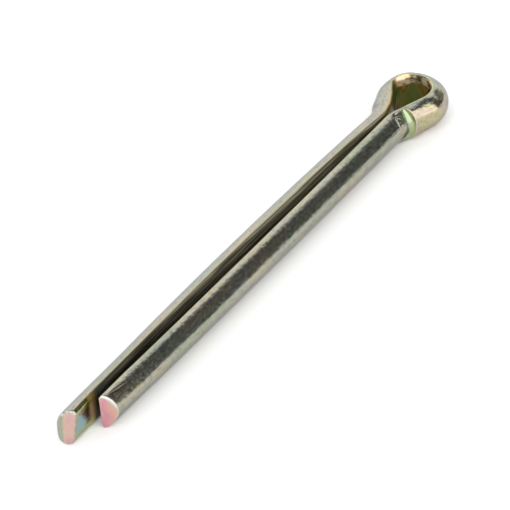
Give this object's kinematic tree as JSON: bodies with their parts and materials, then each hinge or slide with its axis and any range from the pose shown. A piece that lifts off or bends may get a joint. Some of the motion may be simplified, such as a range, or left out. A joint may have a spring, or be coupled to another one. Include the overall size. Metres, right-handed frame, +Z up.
{
  "type": "cotter pin",
  "caption": "Split cotter pin of folded half-round wire, with a teardrop eye and prongs of unequal length; locks a castle nut, clevis pin or shaft.",
  "frame": {"origin": "on the shank's axis at the neck, where the eye ends and the straight prongs begin", "axes": "+X along the shank from the eye to the prong ends, Y across the slot with the short prong on +Y, +Z up with the eye lying flat"},
  "size_m": [0.0888, 0.0106, 0.0056],
  "materials": {
    "yellow_zinc": "drawn steel wire, zinc plated and yellow passivated, glossy olive gold with faint lengthwise streaks"
  },
  "bodies": {
    "root": {"cotter_pin": "yellow_zinc"}
  },
  "joints": []
}
